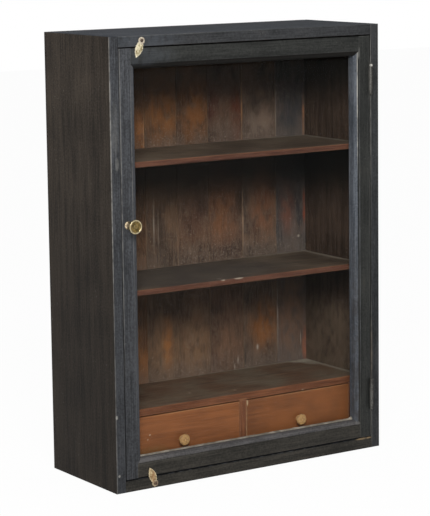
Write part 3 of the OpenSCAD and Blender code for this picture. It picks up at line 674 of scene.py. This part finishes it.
LEAF_SHARES = (0.3, 0.78, 0.84, 0.7, 0.8, 0.93, 1, 1, 0.93, 0.8, 0.6, 0.34, 0.06)
CATCH_SEAT = -0.0993


def leaf_half(share):
    """Half the width of the leaf, as a part of its widest, at a share of its length."""
    steps = len(LEAF_SHARES) - 1
    step = min(int(share * steps), steps - 1)
    part = between_numbers(share * steps, step, step + 1)
    return LEAF_SHARES[step] + (LEAF_SHARES[step + 1] - LEAF_SHARES[step]) * part


def leaf_catch(name, pivot, lean, material, body):
    """A cast leaf with a round eye: a midrib, slanting veins and a crimped rim, hung from its screw."""
    length = 27.5
    half_width = 6.2
    start = 4.3
    crown = 1.15
    edge_thickness = 1.5
    rows = 44
    columns = 16
    shape = bmesh.new()
    bmesh.ops.create_grid(shape, x_segments=columns, y_segments=rows, size=0.5)
    for vert in shape.verts:
        share = 0.5 - vert.co.y
        side = vert.co.x * 2
        crimp = 1 + 0.05 * math.sin(share * 44) * abs(side) ** 3
        half = half_width * leaf_half(share) * crimp
        down = start - share * (length + start)
        dome = 1 - abs(side) ** 2.2
        rib = math.exp(-(side * 5) ** 2) * 0.28 * between_numbers(share, 0.3, 0.4)
        veins = math.sin((share * 15 - abs(side) * 1.9) * math.pi) * 0.2 * (1 - abs(side) ** 4)
        veins *= between_numbers(share, 0.3, 0.42)
        seat = 1 - between_numbers(share, 0.34, 0.2)
        lift = crown * dome * seat * (0.9 - 0.35 * share) + rib + veins * 0.8
        vert.co = Vector((side * half * MM, -(edge_thickness + max(lift, 0)) * MM, down * MM))
    rim = [edge for edge in shape.edges if edge.is_boundary]
    hung = bmesh.ops.extrude_edge_only(shape, edges=rim)
    low = [item for item in hung["geom"] if isinstance(item, bmesh.types.BMVert)]
    for vert in low:
        vert.co.y = 0
    bmesh.ops.holes_fill(shape, edges=[edge for edge in shape.edges if edge.is_boundary])
    eye_line = [(2.7, 0), (5.2, 0), (5.2, 1.1), (5, 1.5), (4.4, 1.8), (3.6, 1.75), (2.7, 1.5), (2.7, 0)]
    eye_mesh = to_mesh(turned_shape(eye_line, 40), "eye")
    shape.from_mesh(eye_mesh)
    bpy.data.meshes.remove(eye_mesh)
    bmesh.ops.recalc_face_normals(shape, faces=shape.faces)
    soften(shape, 45)
    turn = Matrix.Rotation(math.radians(lean), 4, "Y")
    move = Matrix.Translation((pivot[0] * MM, CATCH_SEAT, pivot[1] * MM))
    bmesh.ops.transform(shape, matrix=move @ turn, verts=shape.verts)
    new_piece(name, to_mesh(shape, name), material, body, (body,))


def long_bar(cuts):
    """A cube of size 1, cut crosswise along x for a wavy face."""
    shape = bmesh.new()
    bmesh.ops.create_cube(shape, size=1)
    lengthwise = [edge for edge in shape.edges if abs(edge.verts[0].co.x - edge.verts[1].co.x) > 0.5]
    bmesh.ops.subdivide_edges(shape, edges=lengthwise, cuts=cuts)
    return shape


def knife_wave(x, slow, quick):
    """The uneven stroke of a putty knife: a slow wave and a quick one, each with its rate and its row."""
    first = ripple.noise(Vector((x * slow[0], 0, slow[1])))
    second = ripple.noise(Vector((x * quick[0], 0, quick[1])))
    return first + 0.6 * second


def putty_strip(material):
    """The bead of old putty along the foot of the glass, uneven where the knife drew it."""
    length = 0.411
    front = -0.0825
    back = -0.079
    foot = 0.0435
    crest = 0.0513
    wave_height = 0.0006
    slope = 0.0022
    shape = long_bar(220)
    for vert in shape.verts:
        x = vert.co.x * length
        z = foot
        y = front if vert.co.y < 0 else back
        if vert.co.z > 0:
            z = crest + wave_height * knife_wave(x, (60, 3), (260, 9))
            if vert.co.y > 0:
                z -= slope
        vert.co = Vector((x, y, z))
    soften(shape, 40)
    new_piece("putty_strip", to_mesh(shape, "putty_strip"), material, "door",
              ("glazing_bead_bottom",))


def putty_fillet(material):
    """Putty smeared in front of the foot of the glass, thicker towards the hinges."""
    length = 0.4138
    middle = -0.001
    glass_face = -0.08452
    foot = 0.04945
    shape = long_bar(260)
    for vert in shape.verts:
        x = vert.co.x * length + middle
        share = between_numbers(x, -0.05, 0.2)
        corner = between_numbers(x, 0.198, 0.206)
        wave = knife_wave(x, (90, 5), (320, 2))
        y = glass_face
        z = foot
        if vert.co.y < 0:
            y -= 0.0014 + 0.0016 * share + 0.0005 * wave
        if vert.co.z > 0:
            rise = 0.0009 + 0.0009 * share + 0.0004 * wave + 0.003 * corner
            z += rise if vert.co.y > 0 else rise * 0.4
        vert.co = Vector((x, y, z))
    soften(shape, 50)
    new_piece("putty_fillet", to_mesh(shape, "putty_fillet"), material, "door")


def lay_floor():
    """A wide sheet of white paper under the case."""
    shape = bmesh.new()
    bmesh.ops.create_grid(shape, x_segments=1, y_segments=1, size=8)
    mesh = to_mesh(shape, "studio_floor")
    mesh.materials.append(paper_floor())
    studio_floor = bpy.data.objects.new("studio_floor", mesh)
    bpy.context.scene.collection.objects.link(studio_floor)


# The set

bpy.context.scene.view_settings.view_transform = "Standard"
photo_camera()
studio_air()
soft_lamp("window_lamp", (-1.5, -2.4, 2.0), (0, 0, 0.35), 1.2, 78, (1.0, 0.99, 0.98))
lay_floor()

# The case. A mark is a centre and half sizes in millimetres, a paint and how strong it is.

# the left side's front gets the lit painted sheen, the right side's front a dimmer one
left_looks = [OUTER_BLACK, ("Y", -1, *PAINTED_LIT_FRONT), ("Z", 1, *TOP_SLATE), ("X", 1, *PAINTED_SHADED_FRONT)]
left_marks = (
    ((-253.5, FRONT, 520), (1.4, 1.6, 230), CHALK, 0.5),
    ((-253.5, FRONT, 0), (1.2, 1.4, 420), WORN, 0.4),
    ((-237.5, FRONT, 480), (0.9, 1, 260), WORN, 0.3),
    ((-246, FRONT, 560), (6, 1, 40), CHALK, 0.12),
    ((-243, FRONT, 508), (3, 1, 10), CHALK, 0.2),
    ((-249, FRONT, 28), (2, 1, 2), CHALK, 0.9),
    ((-252, FRONT, 120), (2, 1, 3), CHALK, 0.8)
)
left_finish = black_wood("black_left_side", "z", 11, left_looks, 0.6, left_marks, 0.05, 0.47, ("X", 1))
dress("left_side", left_finish)
right_looks = [OUTER_BLACK, ("Y", -1, *PAINTED_DIM_FRONT), ("Z", 1, *TOP_SLATE), ("X", -1, *PAINTED_SHADED_FRONT)]
right_marks = (
    ((237.5, FRONT, 560), (1, 1, 170), WORN, 0.7),
    ((237.5, FRONT, 120), (1, 1, 160), WORN, 0.5),
    ((253.5, FRONT, 350), (1, 1, LONG), WORN, 0.3),
    ((237.5, 20, 225), (2, 10, 16), tone(40, 28, 20), 0.6),
    ((237.5, 28, 318), (2, 7, 10), tone(40, 28, 20), 0.5),
    ((237.5, 10, 160), (4, 120, 70), tone(108, 94, 78), 0.55)
)
right_finish = black_wood("black_right_side", "z", 23, right_looks, 0.6, right_marks, 0.05, 0.0, ("X", -1))
dress("right_side", right_finish)
top_looks = [PAINTED_DIM_FRONT, ("Z", 1, *TOP_SLATE), ("Z", -1, *PAINTED_SHADE_UNDERSIDE)]
top_marks = (
    ((0, FRONT, 700), (LONG, 1, 1), WORN, 0.3),
    # painted shade in the gap above the door
    ((0, FRONT, 682.4), (LONG, 3, 1.4), PAINTED_SHADE, 0.9),
    # painted sheen: the front lighter and bluer at its left end
    ((-190, FRONT, 692), (60, 2, 12), tone(80, 85, 92), 0.35),
    ((120, 0, 700), (240, 140, 2), tone(44, 47, 50), 0.7)
)
dress("top_board", black_wood("black_top_board", "x", 31, top_looks, 0.7, top_marks))
bottom_looks = [FOOT_BLACK, ("Z", 1, *TOP_SLATE), ("Z", -1, *PAINTED_SHADE_UNDERSIDE)]
bottom_marks = (
    # painted shade in the gap under the door
    ((0, FRONT, 19), (LONG, 3, 1.6), PAINTED_SHADE, 0.9),
    ((222, FRONT, 17.4), (16, 3, 1.6), BARE_WOOD, 0.75)
)
dress("bottom_board", black_wood("black_bottom_board", "x", 37, bottom_looks, 0.7, bottom_marks))

# The door's frame

closing_marks = (
    ((-236, FRONT, 480), (1.1, 1.3, 300), WORN, 0.75),
    ((-216.5, FRONT, 500), (0.8, 1, 140), WORN, 0.5)
)
hinge_marks = (
    ((236, FRONT, 430), (1, 1.2, 260), WORN, 0.8),
    ((236, FRONT, 60), (1, 1.2, 90), WORN, 0.8),
    ((213.5, FRONT + 1, 655), (2, 4, 9), WORN, 0.7),
    ((211.5, FRONT + 2, 44), (3, 3, 3), WORN, 0.7),
    # painted shade in the moulding's creases, and a painted highlight on its arris
    ((213.6, FRONT + 0.5, 350), (0.7, 3, 290), PAINTED_SHADE, 0.6),
    ((211.4, FRONT + 2, 350), (0.6, 3, 290), PAINTED_SHADE, 0.4),
    ((214.6, FRONT, 350), (0.6, 1, 260), tone(150, 154, 160), 0.3),
    ((211.4, FRONT + 1, 575), (0.9, 3, 95), CHALK, 1),
    ((207, FRONT + 5, 90), (8, 8, 260), tone(52, 46, 40), 0.5),
    # light lines beside the knuckles: worn edges and a painted highlight
    ((235.4, FRONT, 86), (1.1, 2.4, 30), CHALK, 0.6),
    ((235.2, FRONT, 612), (1.2, 2.4, 27), CHALK, 0.7)
)
top_rail_marks = (
    # painted shade in the gap above the door
    ((0, FRONT, 682.2), (LONG, 3, 1.4), PAINTED_SHADE, 0.9),
    # painted sheen: the front lighter and bluer at its left end
    ((-200, FRONT, 668), (60, 3, 14), tone(76, 80, 86), 0.3)
)
bottom_rail_marks = (
    ((209, FRONT + 2, 45), (4, 3, 3), WORN, 0.6),
    # painted shade in the gap under the door
    ((0, FRONT, 19), (LONG, 2, 1.6), PAINTED_SHADE, 0.9)
)
# the closing stile gets the lit painted sheen; the hinge stile and top rail get the shaded copy
closing_finish = black_wood("black_closing_stile", "z", 41, [PAINTED_LIT_DOOR], 0.5, closing_marks, low_shade=0.4)
# the moulding bands are painted light and shade: lit on the hinge stile and the bottom rail, shaded on the
# top rail
hinge_finish = black_wood("black_hinge_stile", "z", 43, [PAINTED_SHADED_FRONT], 0.5, hinge_marks,
                          moulding_light=("X", 0.2122, 0.2112, *PAINTED_LIT_MOULDING))
top_rail_finish = black_wood("black_top_rail", "x", 47, [PAINTED_SHADED_FRONT], 0.5, top_rail_marks,
                             moulding_light=("Z", 0.6578, 0.6566, *PAINTED_SHADED_MOULDING))
bottom_rail_finish = black_wood("black_bottom_rail", "x", 49, [FOOT_BLACK], 0.5, bottom_rail_marks,
                                moulding_light=("Z", 0.0424, 0.0434, *PAINTED_UPLIT_MOULDING))
DOOR_FRAME = (
    ("door_stile_closing", closing_finish),
    ("door_stile_hinge", hinge_finish),
    ("door_rail_top", top_rail_finish),
    ("door_rail_bottom", bottom_rail_finish)
)
for member, finish in DOOR_FRAME:
    smooth_copy(member, finish, "door")
dress("glazing_bead_left", closing_finish)
dress("glazing_bead_right", hinge_finish)
dress("glazing_bead_top", top_rail_finish)

# The back boards: dark and light, a warm stain and its share, and rows of marks

BACK_BOARDS = (
    (tone(56, 43, 34), tone(106, 84, 66), tone(122, 84, 52), 0.5, ()),
    (tone(56, 43, 34), tone(106, 84, 66), tone(122, 84, 52), 0.5, ()),
    (tone(62, 46, 35), tone(118, 90, 69), tone(128, 86, 54), 0.5, (
        (-93, 522, 15, 34, tone(172, 112, 64), 0.85),
        (-82.6, 522, 1.2, 30, tone(180, 136, 96), 0.9),
        (-100, 150, 34, 40, GOLD, 0.35)
    )),
    (tone(60, 47, 38), tone(114, 93, 77), tone(118, 86, 58), 0.4, (
        (-45, 560, 34, 50, GOLD, 0.55),
        (-48, 165, 30, 44, tone(142, 110, 80), 0.5),
        (-66.5, 382, 1.2, 34, PALE, 0.8),
        (-58, 372, 0.9, 26, PALE, 0.5),
        (-66, 560, 0.8, 40, GOLD, 0.5),
        (-43, 178, 9, 34, GOLD, 0.6),
        (-60, 350, 20, 30, tone(64, 56, 50), 0.4)
    )),
    (tone(58, 45, 37), tone(112, 91, 76), tone(112, 80, 56), 0.4, (
        (14, 562, 30, 50, GOLD, 0.55),
        (14, 388, 24, 40, tone(88, 56, 44), 0.4),
        (12, 165, 32, 50, tone(144, 112, 82), 0.55)
    )),
    (tone(60, 46, 38), tone(114, 91, 76), tone(112, 78, 58), 0.35, (
        (50, 568, 13, 26, tone(104, 52, 38), 0.4),
        (97, 545, 10, 40, tone(116, 56, 32), 0.7),
        (78, 535, 26, 18, tone(126, 106, 90), 0.5),
        (66, 390, 26, 44, tone(148, 98, 62), 0.5),
        (78, 170, 32, 46, tone(136, 104, 80), 0.5),
        (96, 134, 1.6, 5.5, PALE, 1),
        (89, 124, 1.2, 4, PALE, 0.9)
    )),
    (tone(62, 51, 44), tone(116, 98, 84), tone(122, 88, 62), 0.35, (
        (147, 530, 30, 26, tone(152, 130, 114), 0.6),
        (150, 392, 24, 44, tone(146, 92, 58), 0.5),
        (148, 190, 24, 38, GOLD, 0.6),
        (136, 152, 1.8, 4, PALE, 1),
        (108.8, 372, 1.3, 52, tone(166, 136, 110), 0.9),
        (108.8, 560, 1.3, 44, tone(176, 128, 86), 1)
    )),
    (tone(66, 61, 59), tone(102, 95, 90), tone(108, 80, 62), 0.3, (
        (208, 552, 22, 34, tone(66, 68, 73), 0.6),
        (199, 382, 13, 34, tone(138, 82, 58), 0.5),
        (235, 385, 2.6, 22, RUST, 1),
        (225, 375, 5, 44, tone(44, 46, 50), 0.6),
        (235, 535, 2.4, 32, tone(168, 118, 84), 0.9),
        (235, 140, 5, 26, tone(172, 96, 62), 0.9),
        (206, 205, 30, 80, tone(134, 100, 76), 0.6),
        (177.6, 545, 1.2, 34, tone(150, 138, 124), 0.8),
        (178, 200, 1.2, 44, tone(160, 148, 136), 0.9),
        (226, 157, 1, 9, PALE, 0.7),
        (223, 334, 2, 2, PALE, 0.9)
    ))
)
for number, (dark, light, warm, share, rows) in enumerate(BACK_BOARDS, 1):
    name = "back_board_" + str(number)
    finish = back_board_wood(name + "_wood", 50 + number * 7, dark, light, warm, share, on_back(rows))
    dress(name, finish)

# Shelves, deck and what stands round the drawers

SHELF = [
    (tone(52, 40, 32), tone(98, 74, 58)),
    ("Z", -1, *PAINTED_SHADE_UNDERSIDE),
    ("Y", -1, tone(58, 34, 25), tone(98, 64, 49))
]
SHELF_WARM = tone(112, 76, 56)
shelf_marks = (
    ((-60, 5, 308), (190, 85, 3), tone(62, 63, 65), 0.55),
    ((-38, -62, 307.5), (4, 2, 2), PALE, 0.7),
    ((-8, -74.5, 307), (8, 2, 1.4), PALE, 1),
    ((-38, -74.5, 307), (4, 2, 1.4), PALE, 0.9),
    ((237, 20, 307.5), (9, 90, 2), CORNER_DUST, 0.8),
    ((190, 83, 307.5), (90, 7, 2), CORNER_DUST, 0.7),
    ((237, 20, 506), (9, 90, 2), CORNER_DUST, 0.8),
    ((190, 83, 506), (70, 7, 2), CORNER_DUST, 0.7)
)
for shelf, seed in (("shelf_upper", 121), ("shelf_lower", 127)):
    dress(shelf, brown_wood(shelf + "_wood", "x", seed, SHELF, SHELF_WARM, 0.75, shelf_marks))
dress("door_stop", brown_wood("door_stop_wood", "x", 131, SHELF, SHELF_WARM, 0.5))
DECK = [(tone(84, 54, 36), tone(136, 90, 60)), ("Y", -1, tone(78, 46, 29), tone(124, 79, 53))]
DECK_WARM = tone(134, 86, 52)
deck_marks = (
    ((237, 20, 119), (8, 95, 3), CORNER_DUST, 0.9),
    ((226, 62, 119), (16, 24, 3), CORNER_DUST, 0.9),
    ((220, 76, 119), (22, 12, 4), tone(156, 151, 136), 1),
    ((170, 83, 119), (100, 6, 3), CORNER_DUST, 0.6),
    ((10, 83, 119), (110, 3, 3), CORNER_DUST, 0.5),
    ((36, 30, 119), (24, 8, 3), tone(112, 104, 92), 0.35),
    ((2, -45, 119), (2.4, 2.4, 2), PALE, 0.8),
    ((-68, -19, 119), (2.4, 2.4, 2), PALE, 0.8),
    ((119, DRAWER_FRONT, 107.5), (2, 2, 1.6), PALE, 0.9)
)
dress("drawer_deck", brown_wood("drawer_deck_wood", "x", 137, DECK, DECK_WARM, 0.9, deck_marks))
divider_marks = (((7.6, DRAWER_FRONT, 62), (0.9, 1.2, 44), tone(176, 146, 112), 0.7),)
dress("drawer_divider", brown_wood("drawer_divider_wood", "z", 139, DECK, DECK_WARM, 0, divider_marks))
dress("drawer_packer", brown_wood("drawer_packer_wood", "z", 141, DECK, DECK_WARM))
dress("drawer_stops", brown_wood("drawer_stops_wood", "x", 143, DECK, DECK_WARM))

# Drawers

FRONTS = [(tone(110, 66, 36), tone(136, 85, 49))]
DARK_FRONTS = [(tone(100, 60, 33), tone(125, 78, 44))]
FRONTS_WARM = tone(136, 82, 42)
left_front_marks = (
    ((-170, DRAWER_FRONT, 44), (32, 2, 13), tone(116, 92, 52), 0.4),
    ((-175, DRAWER_FRONT, 76), (1.4, 1, 1.4), PALE, 0.8),
    ((-179, DRAWER_FRONT, 69), (1.2, 1, 1.2), PALE, 0.7),
    ((-90, DRAWER_FRONT, 105.6), (100, 1, 0.9), SCUFFED, 0.5)
)
right_front_marks = (
    ((9.6, DRAWER_FRONT, 102), (1.6, 2, 5), tone(196, 172, 138), 0.7),
    ((120, DRAWER_FRONT, 105.6), (110, 1, 0.9), SCUFFED, 0.5)
)
DRAWERS = (
    ("left", 151, FRONTS, left_front_marks),
    ("right", 157, DARK_FRONTS, right_front_marks)
)
for side, seed, looks, places in DRAWERS:
    finish = brown_wood(side + "_front_wood", "x", seed, looks, FRONTS_WARM, 0, places, 0.2)
    dress(side + "_drawer_front", finish)
lining_along_y = plain_wood("lining_side_wood", "y", 163)
lining_along_x = plain_wood("lining_wood", "x", 167)
for side, knob_x in (("left", -115.64), ("right", 110.63)):
    dress(side + "_drawer_side_left", lining_along_y)
    dress(side + "_drawer_side_right", lining_along_y)
    dress(side + "_drawer_back", lining_along_x)
    dress(side + "_drawer_bottom", lining_along_x)
    wooden_knob(side, knob_x, turned_wood(side + "_knob_wood", (knob_x, DRAWER_FRONT, DRAWER_KNOB_HEIGHT)))

# Putty, glass and metal

putty = old_putty()
putty_strip(putty)
putty_fillet(putty)
dress("door_glass", window_glass())
# a painted highlight on the left of the knob's neck
knob_neck_highlight = (((-231, FRONT - 5, 416), (4.5, 8, 7), tone(250, 226, 190), 1),)
knob_brass = brass("aged_brass", tone(76, 64, 34), tone(136, 114, 66), tone(46, 40, 22), 0.6, 0.00008, 0.85,
                   tone(243, 230, 192), knob_neck_highlight)
brass_knob(knob_brass)
TOP_PIVOT = (-196.7, 692.4)
BOTTOM_PIVOT = (-185.9, 7.4)
top_leaf_marks = (((TOP_PIVOT[0], FRONT - 1, TOP_PIVOT[1]), (6, 4, 6), tone(146, 128, 116), 0.85),)
bottom_leaf_marks = (
    ((BOTTOM_PIVOT[0], FRONT - 1, BOTTOM_PIVOT[1]), (6, 4, 6), tone(88, 62, 46), 0.9),
    ((-189.5, FRONT - 1, 19), (3, 4, 9), tone(140, 92, 48), 0.7)
)
pale_cast = brass("pale_cast_brass", tone(138, 122, 80), tone(226, 216, 182), tone(84, 72, 40), 0.85,
                  0.0003, 0.2, tone(232, 224, 200), top_leaf_marks)
leaf_catch("catch_top_leaf", TOP_PIVOT, 22, pale_cast, "catch_top")
rusty_cast = brass("rusty_cast_brass", tone(136, 108, 68), tone(206, 182, 138), tone(88, 62, 34), 0.85,
                   0.0003, 0.2, tone(220, 204, 168), bottom_leaf_marks)
leaf_catch("catch_bottom_leaf", BOTTOM_PIVOT, 160, rusty_cast, "catch_bottom")
rusty_iron = old_iron("rusty_iron", tone(58, 44, 34), tone(104, 80, 60), tone(120, 76, 46))
for screw in ("catch_top_screw", "catch_bottom_screw"):
    dress(screw, rusty_iron)
# a painted highlight at the top end of the upper knuckle; the knuckle lines are worn edges and painted
# highlight
knuckle_wear_and_highlight = (
    ((235.6, FRONT - 3, 634), (2.2, 5, 2), tone(206, 203, 196), 0.9),
    ((234.4, FRONT - 3, 612), (1.1, 5, 24), CHALK, 0.6),
    ((234.6, FRONT - 3, 86), (1.1, 5, 30), CHALK, 0.45)
)
iron = old_iron("black_iron", tone(30, 30, 30), tone(50, 49, 48), tone(60, 44, 34), knuckle_wear_and_highlight)
for hinge in ("hinge_upper", "hinge_lower"):
    for part in ("case_leaf", "door_leaf", "pin", "case_screws", "door_screws"):
        dress(hinge + "_" + part, iron)
